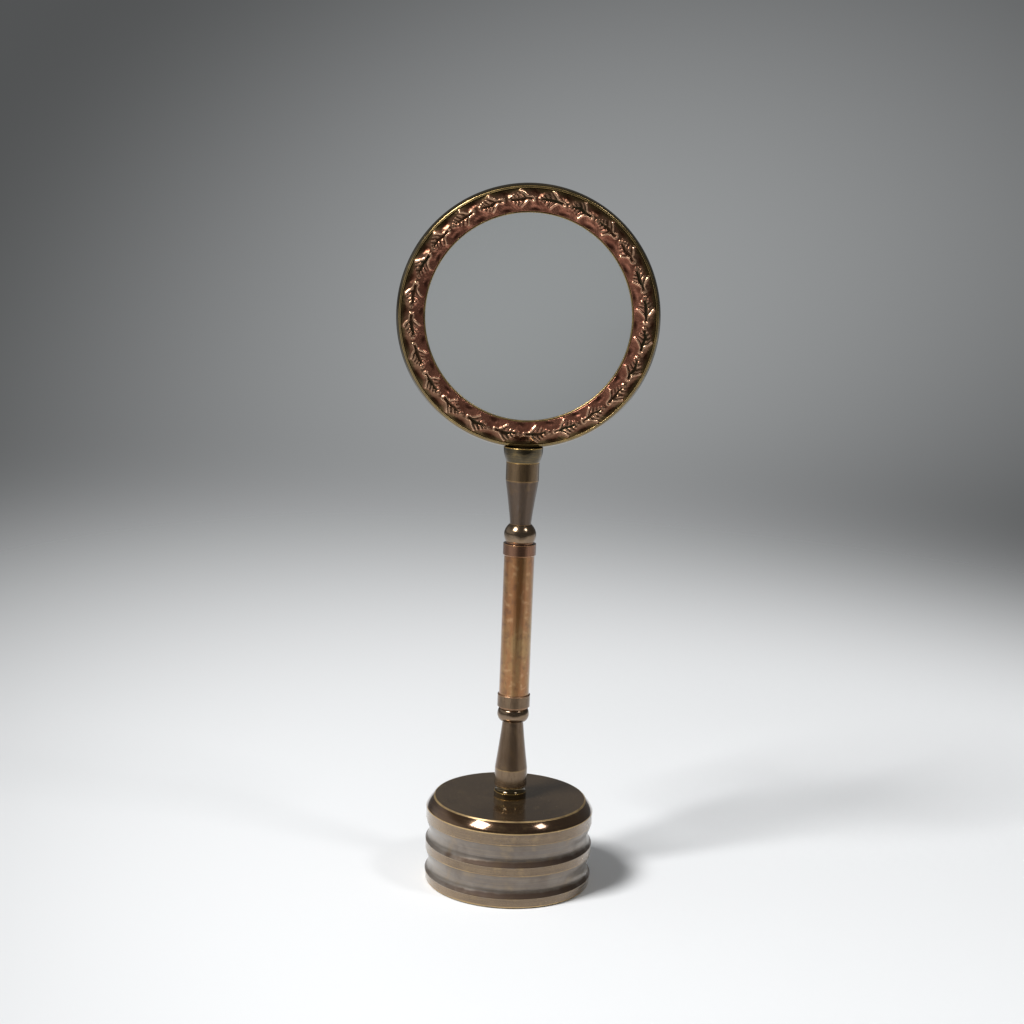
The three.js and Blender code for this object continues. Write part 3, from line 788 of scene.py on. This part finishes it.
HOOP_CENTRE = 211.6
HOOP_AROUND = 512
HOOP_HALF = 3.6
HOOP_EDGE = 46.3
HOOP_SWELL = 1.15
OPENING = 37.0
LIP = 37.6
LIP_FRONT = -3.0
CHANNEL = 45.7
CHANNEL_FLOOR = -2.3
EDGE_FALL = 0.26
LENS_SEAT = -1.3
LENS_BORE = 38.4
LENS_BACK = 0.8
THREAD_BORE = 40.3
share = np.linspace(-1, 1, 33)[2:-1]
hoop_side = curved_side(HOOP_EDGE + HOOP_SWELL * (1 - share * share), HOOP_HALF * share, POLISHED)
hoop = turned("hoop_frame", outlined([
    (HOOP_EDGE, -HOOP_HALF + EDGE_FALL, 0.26, POLISHED),
    *hoop_side,
    (HOOP_EDGE, HOOP_HALF, 0.28, POLISHED),
    (THREAD_BORE, HOOP_HALF, 0.2, POLISHED),
    (THREAD_BORE, LENS_BACK, 0.1, PLAIN),
    (LENS_BORE, LENS_BACK, 0.1, PLAIN),
    (LENS_BORE, LENS_SEAT, 0.1, PLAIN),
    (OPENING, LENS_SEAT, 0.12, PLAIN),
    (OPENING, LIP_FRONT, 0.2, POLISHED),
    (LIP, LIP_FRONT, 0.15, POLISHED),
    (LIP, CHANNEL_FLOOR, 0.1, PLAIN),
    (CHANNEL, CHANNEL_FLOOR, 0.1, PLAIN),
    (CHANNEL, -HOOP_HALF, 0.08, POLISHED),
], spacing=0.4, halo=0.12), HOOP_AROUND, "level", HOOP_CENTRE)
dress(hoop, turned_brass(
    "hoop_bronze", polished=(86, 74, 50), plain=(90, 74, 50), bloom=(110, 100, 76), gold=(214, 180, 116),
    stain=(40, 32, 22), gloss=(0.18, 0.3), metal=(0.9, 0.85), worn=0.6))
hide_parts("hoop")
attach(hoop, "hand_glass")

# Top collar
# A rounded bronze saddle, soldered under the hoop, carries it on the handle. Its top is cut to
# the curve of the hoop.

SADDLE_SEAT = 159.2
SADDLE_HEIGHT = 4.6
SADDLE_TOP = 164.8
SADDLE_FOOT = 6.05
SADDLE_WIDE = 7.15
SADDLE_ROOM = 0.02
share = np.linspace(0, 1, 15)[1:]
saddle = turned("hoop_saddle", outlined([
    (SPIGOT_BORE, SADDLE_SEAT, 0.05, PLAIN),
    (SADDLE_FOOT, SADDLE_SEAT, 0.12, POLISHED),
    *curved_side(SADDLE_FOOT + (SADDLE_WIDE - SADDLE_FOOT) * np.sin(math.pi / 2 * share),
                 SADDLE_SEAT + SADDLE_HEIGHT * share, POLISHED),
    (SADDLE_WIDE, SADDLE_TOP, 0.2, POLISHED),
    (SPIGOT_BORE, SADDLE_TOP, 0.05, PLAIN),
], spacing=0.35, halo=0.25), around=128)
room_half = HOOP_HALF + SADDLE_ROOM
cutter = turned("saddle_cutter", outlined([
    (OPENING, -room_half, 0, 0),
    (HOOP_EDGE, -room_half, 0, 0),
    *(hoop_side + (SADDLE_ROOM, 0, 0, 0)),
    (HOOP_EDGE, room_half, 0, 0),
    (OPENING, room_half, 0, 0),
], spacing=0.5), HOOP_AROUND, "level", HOOP_CENTRE)
trough = saddle.modifiers.new("trough", "BOOLEAN")
trough.operation = "DIFFERENCE"
trough.solver = "EXACT"
trough.object = cutter
bpy.context.view_layer.update()
cut_mesh = bpy.data.meshes.new_from_object(saddle.evaluated_get(bpy.context.evaluated_depsgraph_get()))
saddle.modifiers.clear()
saddle.data = cut_mesh
bpy.data.objects.remove(cutter)
dress(saddle, turned_brass(
    "saddle_bronze", polished=(70, 62, 46), **dark_bronze, gloss=(0.14, 0.28)))
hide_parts("top_collar")
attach(saddle, "hand_glass")

# Leaf border
# A strip of thin copper is pressed with twenty-four leaves that follow one another clockwise, and
# lies in the hoop's channel. Its ribs are painted pale pink, partly as rubbed metal and partly as
# painted highlight. Dark wax sits in the notches and grooves, and the hollows between the leaves
# are painted dark, partly as wax and partly as painted shade.

LEAVES = 24
LEAF_COLUMNS = 70
BORDER_ROWS = 56
BORDER_INNER = 37.63
BORDER_MIDDLE = 41.65
BORDER_OUTER = 45.67
BORDER_FRONT = -3.18
BORDER_BACK = -2.32
BORDER_CROWN = 0.42
LEAF_AXIS = 41.85
LEAF_PITCH = 10.9
LEAF_TURN = 0.156
# Places along a leaf from its tip, and its half width at each
LEAF_PLACES = (-0.1, 0.0, 0.3, 1.0, 1.8, 2.6, 3.4, 4.3, 5.0, 5.6)
LEAF_HALVES = (0, 0.3, 0.65, 1.1, 1.6, 2.05, 2.4, 2.75, 2.85, 2.4)
# The line of the rim, in places along a leaf and out from its axis
RIM_LINE = ((5.0, 2.9), (5.95, 2.0), (6.75, 1.08), (7.25, 0.72), (7.8, 0.6), (8.6, 0.72), (9.2, 0.8),
            (9.65, 0.6), (9.85, 0))
BLADE_END = 5.6
STALK_END = 9.65
FINGER_PITCH = 1.68
LAST_FINGER = 7.63
BLADE_HEIGHT = 0.52
BLADE_FALL = 0.26
RIM_HEIGHT = 0.68
KNOB_HEIGHT = 0.62
CAPE_HEIGHT = 0.34
SKIRT_HEIGHT = 0.2
GROOVE_DEPTH = 0.4
HOLLOW_DEPTH = 0.4
DENT = 0.004
UNEVEN = 0.05
WAVES = 16


def bell(distance, width):
    """1 at no distance, falling as a bell curve of that width."""
    return np.exp(-((distance / width) ** 2))


def smooth(value, low, high):
    """0 below low and 1 above high, with a smooth step between."""
    share = np.clip((value - low) / (high - low), 0, 1)
    return share * share * (3 - 2 * share)


def to_line(x, y, line):
    """The distance of each point from a line of joined points."""
    line = np.array(line, float)
    best = np.full(x.shape, np.inf)
    for start, end in zip(line[:-1], line[1:]):
        step = end - start
        share = np.clip(((x - start[0]) * step[0] + (y - start[1]) * step[1]) / (step @ step), 0, 1)
        best = np.minimum(best, np.hypot(x - start[0] - share * step[0], y - start[1] - share * step[1]))
    return best


def leaf_relief(along, across):
    """Height of the pressed relief, from millimetres along a leaf from its tip and out from its axis.

    The blade is a low dome inside the leaf's outline. A valley along its middle, and notches that
    slant from it towards the outline, leave the fingers as ridges on both sides. A raised rim runs
    from the widest point in beside the last notch, down the stalk and round the knob at its end,
    and back the same way. A cape slopes away from the rim, and a skirt from the outline. A groove
    is pressed along the axis of blade and stalk. The result is the height, how much of it is a
    crest, and how much is sunk.
    """
    side = np.abs(across)
    slant = along + 0.8 * side
    lobe = 0.5 + 0.5 * np.cos(2 * math.pi * (slant - LAST_FINGER) / FINGER_PITCH)
    half = np.interp(along, LEAF_PLACES, LEAF_HALVES)
    half = half - 0.2 * (1 - lobe) * smooth(along, 0.5, 1.2) * smooth(side, 0.4, 1.0)
    blade = smooth(half - side, -0.3, 0.3) * smooth(7.6 - slant, -0.2, 0.3) * smooth(along, -0.3, 0.2)
    valley = 1 - smooth(side / np.interp(along, [0.9, 5.5], [0.35, 0.8]), 0.4, 1.2)
    notch = (1 - lobe) ** 2 * smooth(half - side, 0.05, 0.7)
    cut = np.maximum(valley, 0.85 * notch) * smooth(slant, 1.3, 2.0) * blade
    to_rim = to_line(along, side, RIM_LINE)
    rim = bell(to_rim, np.interp(slant, [7.4, 8.4], [0.54, 0.32]))
    knob = bell(np.hypot(along - STALK_END, across), 0.6)
    cape = bell(to_rim, 1.25) * smooth(slant, 7.3, 7.9)
    skirt = bell(np.maximum(side - half, 0), 0.75) * (side > half - 0.3)
    skirt = skirt * smooth(BLADE_END - along, 0, 0.8) * smooth(along, -0.8, 0.3)
    height = blade * (BLADE_HEIGHT - BLADE_FALL * smooth(side, 0.5, 2.7)) * (1 - 0.9 * cut)
    height = np.maximum.reduce([
        height, RIM_HEIGHT * rim, KNOB_HEIGHT * knob, CAPE_HEIGHT * cape, SKIRT_HEIGHT * skirt])
    groove = bell(across, 0.36) * smooth(along, 0.9, 1.7) * smooth(9.2 - along, 0, 0.4)
    crest = np.maximum.reduce([rim, knob, 0.85 * blade * (1 - cut) * lobe])
    return height - GROOVE_DEPTH * groove, crest * (1 - groove), np.maximum(cut, groove)


def blurred(field):
    """The field averaged over a box of three columns, round the ring, and three rows."""
    total = sum(np.roll(field, step, 0) for step in (-1, 0, 1)) / 3
    padded = np.pad(total, ((0, 0), (1, 1)), mode="edge")
    return sum(padded[:, step:step + field.shape[1]] for step in (0, 1, 2)) / 3


def random_waves(fastest, steepest):
    """The sum of cosine waves of random height, count round the ring, slant and start."""
    total = 0
    for wave in range(WAVES):
        height = rng.normal()
        count = rng.integers(12, fastest)
        slant = rng.uniform(-steepest, steepest)
        total = total + height * np.cos(count * turn_grid + slant * radius_grid + rng.uniform(0, 6))
    return total


def with_back(field, back=0):
    """The field of the front, with three more columns for the strip's back."""
    return np.concatenate([field, np.broadcast_to(back, (len(field), 3))], 1)


def closed_grid(index):
    """Faces of a grid of points that closes on itself both ways."""
    onward = np.roll(index, -1, 0)
    return np.stack([index, onward, np.roll(onward, -1, 1), np.roll(index, -1, 1)], -1).reshape(-1, 4)


angle = 2 * math.pi * (np.arange(LEAVES * LEAF_COLUMNS) + 0.5) / (LEAVES * LEAF_COLUMNS)
radii = np.linspace(BORDER_INNER, BORDER_OUTER, BORDER_ROWS)
turn_grid, radius_grid = np.meshgrid(angle, radii, indexing="ij")
rng = np.random.default_rng(24)
dents = random_waves(260, 6)
sway = random_waves(70, 1.2)
lift = random_waves(70, 1.2)
across = radius_grid - LEAF_AXIS + UNEVEN * sway
along = ((turn_grid * LEAVES / (2 * math.pi) - LEAF_TURN) % 1) * LEAF_PITCH + UNEVEN * lift
relief, crest, wax = np.max([
    np.stack(leaf_relief(along - shift, across)) for shift in (0, LEAF_PITCH, -LEAF_PITCH)], 0)
from_tip = np.where(along > LEAF_PITCH / 2, along - LEAF_PITCH, along) + 0.5
inner_hollow = smooth(1 - np.hypot(from_tip / 3.4, (across + 3.35) / 1.55), 0, 1)
outer_hollow = smooth(1 - np.hypot((from_tip + 0.25) / 3.0, (across - 2.3) / 1.7), 0, 1)
hollow = np.stack([inner_hollow, outer_hollow]) * (1 - smooth(relief, 0.26, 0.46))
relief = blurred(relief * (1 + 0.07 * sway)) - HOLLOW_DEPTH * hollow.sum(0) + DENT * dents
share = (radius_grid - BORDER_MIDDLE) / (BORDER_OUTER - BORDER_INNER) * 2
depth = BORDER_FRONT - BORDER_CROWN * (1 - share ** 2) - relief + 0.05 * smooth(share, 0.9, 1.0)
strip_radius = with_back(radius_grid, (BORDER_OUTER, BORDER_MIDDLE, BORDER_INNER))
strip_points = np.stack([
    strip_radius * np.sin(angle)[:, None], with_back(depth, BORDER_BACK),
    HOOP_CENTRE + strip_radius * np.cos(angle)[:, None]], -1)
strip_faces = closed_grid(np.arange(strip_radius.size).reshape(strip_radius.shape))
strip_values = {
    "crest": crest,
    "wax": wax,
    "inner_hollow": hollow[0],
    "outer_hollow": hollow[1],
    "margin": smooth(across, 1.9, 3.2) * (1 - smooth(relief, 0.15, 0.35)),
    "inner": smooth(-across, -0.5, 1.5),
}
border = made_mesh("leaf_strip", strip_points.reshape(-1, 3), strip_faces.tolist(),
                   **{key: with_back(field).ravel() for key, field in strip_values.items()})
strip = Finish("pressed_copper", Metallic=0.86, IOR=1.5)
strip_patch = strip.noise(230, 4, 0.6)
strip_blot = strip.noise(60, 3, 0.6)
strip_speck = strip.noise(1700, 3, 0.65)
# The hollows between the leaves are painted dark, partly as wax and partly as painted shade.
hollow_wax_and_shade = strip.rise(strip.attribute("inner_hollow") + (strip_blot - 0.5) * 0.8, 0.0, 1.0)
in_wax = strip.rise(strip.attribute("wax") + (strip_patch - 0.5) * 0.4, 0.2, 0.75)
# The ribs are painted pale pink, partly as rubbed metal and partly as painted highlight.
crest_rub_and_highlight = strip.rise(strip.attribute("crest") + (strip_patch - 0.5) * 0.3, 0.4, 1.05)
strip_color = strip.coated(
    strip.mix(strip.attribute("inner"), (130, 96, 74), (166, 110, 88)),
    (strip.rise(strip_patch, 0.42, 0.7) * 0.65, (112, 62, 46)),
    (strip.attribute("margin"), (90, 72, 46)),
    # The outer and inner hollows are painted dark, partly as wax and partly as painted shade.
    (strip.attribute("outer_hollow") * 0.9, (70, 38, 22)),
    (hollow_wax_and_shade * 0.8, (60, 30, 20)),
    (in_wax * 0.88, strip.mix(strip.rise(strip_blot, 0.4, 0.6), (54, 52, 34), (80, 56, 38))),
    (crest_rub_and_highlight * 0.85, (226, 184, 150)),
)
strip.bump(strip_speck * 0.4 + strip_patch * 1.5, 0.008)
dress(border, strip.end(
    strip_color, 0.27 + (strip_patch - 0.5) * 0.25 + (strip_speck - 0.5) * 0.1))
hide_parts("leaf_border")
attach(border, "hand_glass")

# Lens
# An equal double convex glass, ground to spheres and polished, with a flat ground edge. Clear
# glass lets the light through, so it casts no shade.

LENS = 38.1
LENS_FRONT_EDGE = -1.0
LENS_RISE = 2.6
share = np.linspace(0, 1, 49)


def lens_face(edge, rise, share):
    """A spherical face at shares of the lens's radius.

    The sphere passes through the edge and stands out by the rise at the axis, so its radius is
    the sum of the squares of the lens's radius and the rise, over twice the rise.
    """
    sphere = (LENS ** 2 + rise ** 2) / (2 * abs(rise))
    drop = np.sqrt(sphere ** 2 - (LENS * share) ** 2) - (sphere - abs(rise))
    return curved_side(LENS * share, edge + np.copysign(drop, rise), POLISHED)


lens = turned("glass_lens", outlined([
    *lens_face(LENS_FRONT_EDGE, -LENS_RISE, share),
    *lens_face(LENS_BACK, LENS_RISE, share[::-1]),
], spacing=1.0), 256, "level", HOOP_CENTRE)
glass = Finish("clear_glass", Roughness=0, IOR=1.5, Transmission_Weight=1)
dress(lens, glass.end((0.97, 0.985, 0.98, 1)))
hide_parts("lens")
lens.visible_shadow = False
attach(lens, "hand_glass")

# Retaining ring
# A flat bronze ring screws in behind the glass. Two slots in its back take a turning key.

RING_BORE = 37.2
RING_OUTER = 40.2
RING_FRONT = 1.1
RING_BACK = 3.3
RING_BEVEL = 0.18
SLOT_HALF = 1.0
SLOT_DEPTH = 1.0
SLOT_WALL = 0.0004
slot_angle = SLOT_HALF / ((RING_BORE + RING_OUTER) / 2)
ring_angle = np.linspace(0, 2 * math.pi, 360, endpoint=False) + 0.004
ring_angle = ring_angle[np.abs(np.sin(ring_angle)) > slot_angle * 1.2]
slot_edges = np.array([middle + side * (slot_angle + step)
                       for middle in (0, math.pi) for side in (-1, 1) for step in (-SLOT_WALL, SLOT_WALL)])
ring_angle = np.sort(np.concatenate([ring_angle, slot_edges, [0, math.pi]]) % (2 * math.pi))
in_slot = np.abs(np.sin(ring_angle)) < slot_angle
top = np.where(in_slot, RING_BACK - SLOT_DEPTH, RING_BACK)
low = np.full(len(top), RING_FRONT)
ring_depth = np.stack([low, low, top - RING_BEVEL, top, top, top - RING_BEVEL])
# Radius, edge value and length along the outline
ring_radius, ring_edge, ring_length = np.array([
    (RING_BORE, 0, 0),
    (RING_OUTER, 0, 3),
    (RING_OUTER, 0.4, 5),
    (RING_OUTER - RING_BEVEL, 0.4, 5.3),
    (RING_BORE + RING_BEVEL, 0.4, 8),
    (RING_BORE, 0.4, 8.3),
]).T[..., None]
cosine = np.cos(ring_angle)
sine = np.sin(ring_angle)
ring_points = np.stack([ring_radius * cosine, ring_depth, HOOP_CENTRE - ring_radius * sine], -1)
ring_lathe = np.stack(np.broadcast_arrays(cosine, sine, ring_length * MM), -1)
ring_faces = closed_grid(np.arange(ring_depth.size).reshape(ring_depth.shape).T)
ring = made_mesh("back_ring", ring_points.reshape(-1, 3), ring_faces.tolist(), tone=np.zeros(ring_depth.size),
                 edge=np.repeat(ring_edge, len(ring_angle)), lathe=ring_lathe.reshape(-1, 3))
ring.data.polygons.foreach_set("use_smooth", np.zeros(len(ring.data.polygons), bool))
dress(ring, turned_brass(
    "ring_bronze", polished=(104, 90, 62), plain=(104, 92, 60), bloom=(110, 100, 76), gold=(216, 180, 108),
    stain=(44, 36, 22), gloss=(0.2, 0.32)))
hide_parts("lens_retainer")
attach(ring, "hand_glass")

# Floor and backdrop
# A white floor lies in a pool of light, ends a little in front of the object and fades into a
# plain grey backdrop. The metal mirrors a pale table low down on the sides, and a window on the
# left.

FLOOR = 3000.0
FLOOR_HUB = 20
FLOOR_RINGS = 60
FLOOR_SPOKES = 96
POOL_MIDDLE = (0.191, -0.0924)
POOL_SLANT = 0.247
POOL_SQUEEZE = 1.51
POOL_WHITE = 0.365
POOL_END = 2.039
floor_radius = np.geomspace(FLOOR_HUB, FLOOR, FLOOR_RINGS)[:, None]
floor_angle = np.linspace(0, 2 * math.pi, FLOOR_SPOKES, endpoint=False)
floor_points = np.stack(np.broadcast_arrays(
    floor_radius * np.cos(floor_angle), floor_radius * np.sin(floor_angle), 0.0), -1).reshape(-1, 3)
floor_points = np.concatenate([[[0, 0, 0]], floor_points])
index = 1 + np.arange(FLOOR_RINGS * FLOOR_SPOKES).reshape(FLOOR_RINGS, FLOOR_SPOKES)
onward = np.roll(index, -1, 1)
floor_quads = np.stack([index[:-1], index[1:], onward[1:], onward[:-1]], -1).reshape(-1, 4)
floor_wedges = np.stack([np.zeros_like(index[0]), index[0], onward[0]], -1)
floor = made_mesh("studio_floor", floor_points, floor_quads.tolist() + floor_wedges.tolist())
ground = Finish("floor_card", Roughness=1, Specular_IOR_Level=0, Base_Color=(0.93, 0.94, 0.95, 1))
ground_x, ground_y, ground_z = ground.parts(ground.node("TexCoord", output="Object"))
aside = (ground_x - POOL_MIDDLE[0] + ground_y * POOL_SLANT) * POOL_SQUEEZE
behind = (ground_y - POOL_MIDDLE[1]).at_least(0)
pool = (1 - ground.rise((aside ** 2 + behind ** 2) ** 0.5, POOL_WHITE, POOL_END)) ** 5
ahead = ground_y + (0 - ground_x).at_least(ground_x * 0.3)
front_end = ground.rise(ahead, -0.39, -0.31) * 0.4 + ground.rise(ahead, -0.22, -0.115) * 0.6
card = Wire(ground, ground.surface.outputs[0])
shown = ground.node("MixShader", None, {0: pool * front_end, 1: ground.node("BsdfTransparent"), 2: card})
ground.feed(ground.tree.nodes["Material Output"].inputs["Surface"], shown)
dress(floor, ground.material)

world = bpy.data.worlds.new("studio")
world.use_nodes = True
bpy.context.scene.world = world
sky = Finish("studio", world.node_tree)
sx, sy, sz = sky.parts(sky.node("TexCoord", output="Generated"))
spot = (((sx - 0.151) * 1.94) ** 2 + ((sz + 0.252) * 2.04) ** 2) ** 0.5
backdrop = (1 - sky.rise(spot, 0, 1)) * (0.528 - 0.714 * sx + 1.66 * sz) * sky.rise(sy, 0.0, 0.5)
table = sky.rise(sy - sx * 0.3, -1.05, -0.35) * (1 - sky.rise(sy - sx, 0.5, 1.2) * 0.55)
table = table * sky.rise(0 - sz, -0.02, 0.13)
window = sky.rise(0 - sx, 0.5, 0.9) * sky.rise(sz, 0.05, 0.2) * sky.rise(0 - sz, -0.62, -0.45)
walls = (table * 0.62 + window * 0.36) * sky.rise(0 - sy, -0.93, -0.6)
background = world.node_tree.nodes["Background"].inputs
sky.feed(background["Color"], sky.mix(0.087 + backdrop + walls, (0, 0, 0, 1), (0.975, 1.005, 1.02, 1)))
background["Strength"].default_value = 1

# Lamps
# A large soft lamp stands high on the left in front and a smaller one on the right.

LAMP_AIM = 0.12
LAMP_DISTANCE = 2.2


def softbox(name, direction, size, power):
    """A square area lamp in that direction from the middle of the object, turned to face it."""
    data = bpy.data.lights.new(name, "AREA")
    data.size = size
    data.energy = power
    lamp = bpy.data.objects.new(name, data)
    aim = np.array([0, 0, LAMP_AIM])
    lamp.location = aim + np.array(direction) / np.linalg.norm(direction) * LAMP_DISTANCE
    bpy.context.scene.collection.objects.link(lamp)
    bpy.context.view_layer.update()
    lamp.rotation_euler = (Vector(aim) - lamp.location).to_track_quat("-Z", "Y").to_euler()
    lamp.visible_camera = False


softbox("left_lamp", (-0.533, -0.378, 0.757), size=0.6, power=54)
softbox("right_lamp", (0.558, -0.36, 0.748), size=0.36, power=7)

# Camera
# It stands a little left of the middle, looks down by ten degrees and leans by two.

CAMERA_PLACE = (-23.46, -636.49, 250.69)
CAMERA_DOWN = 0.1713
CAMERA_ASIDE = 0.0317
CAMERA_LEAN = 0.0382
CAMERA_LENS = 62.18
CAMERA_SENSOR = 36
forward = np.array([math.sin(CAMERA_ASIDE) * math.cos(CAMERA_DOWN),
                    math.cos(CAMERA_ASIDE) * math.cos(CAMERA_DOWN), -math.sin(CAMERA_DOWN)])
level = np.array([math.cos(CAMERA_ASIDE), -math.sin(CAMERA_ASIDE), 0])
upward = np.cross(level, forward)
right = level * math.cos(CAMERA_LEAN) + upward * math.sin(CAMERA_LEAN)
up = upward * math.cos(CAMERA_LEAN) - level * math.sin(CAMERA_LEAN)
camera_data = bpy.data.cameras.new("camera")
camera_data.lens = CAMERA_LENS
camera_data.sensor_width = CAMERA_SENSOR
camera_data.clip_start = 0.01
camera_data.clip_end = 20
camera = bpy.data.objects.new("camera", camera_data)
turning = np.eye(4)
turning[:3] = np.stack([right, up, -forward, np.array(CAMERA_PLACE) * MM], 1)
camera.matrix_world = Matrix(turning.tolist())
bpy.context.scene.collection.objects.link(camera)
bpy.context.scene.camera = camera

bpy.context.scene.view_settings.view_transform = "Standard"

bpy.context.view_layer.update()
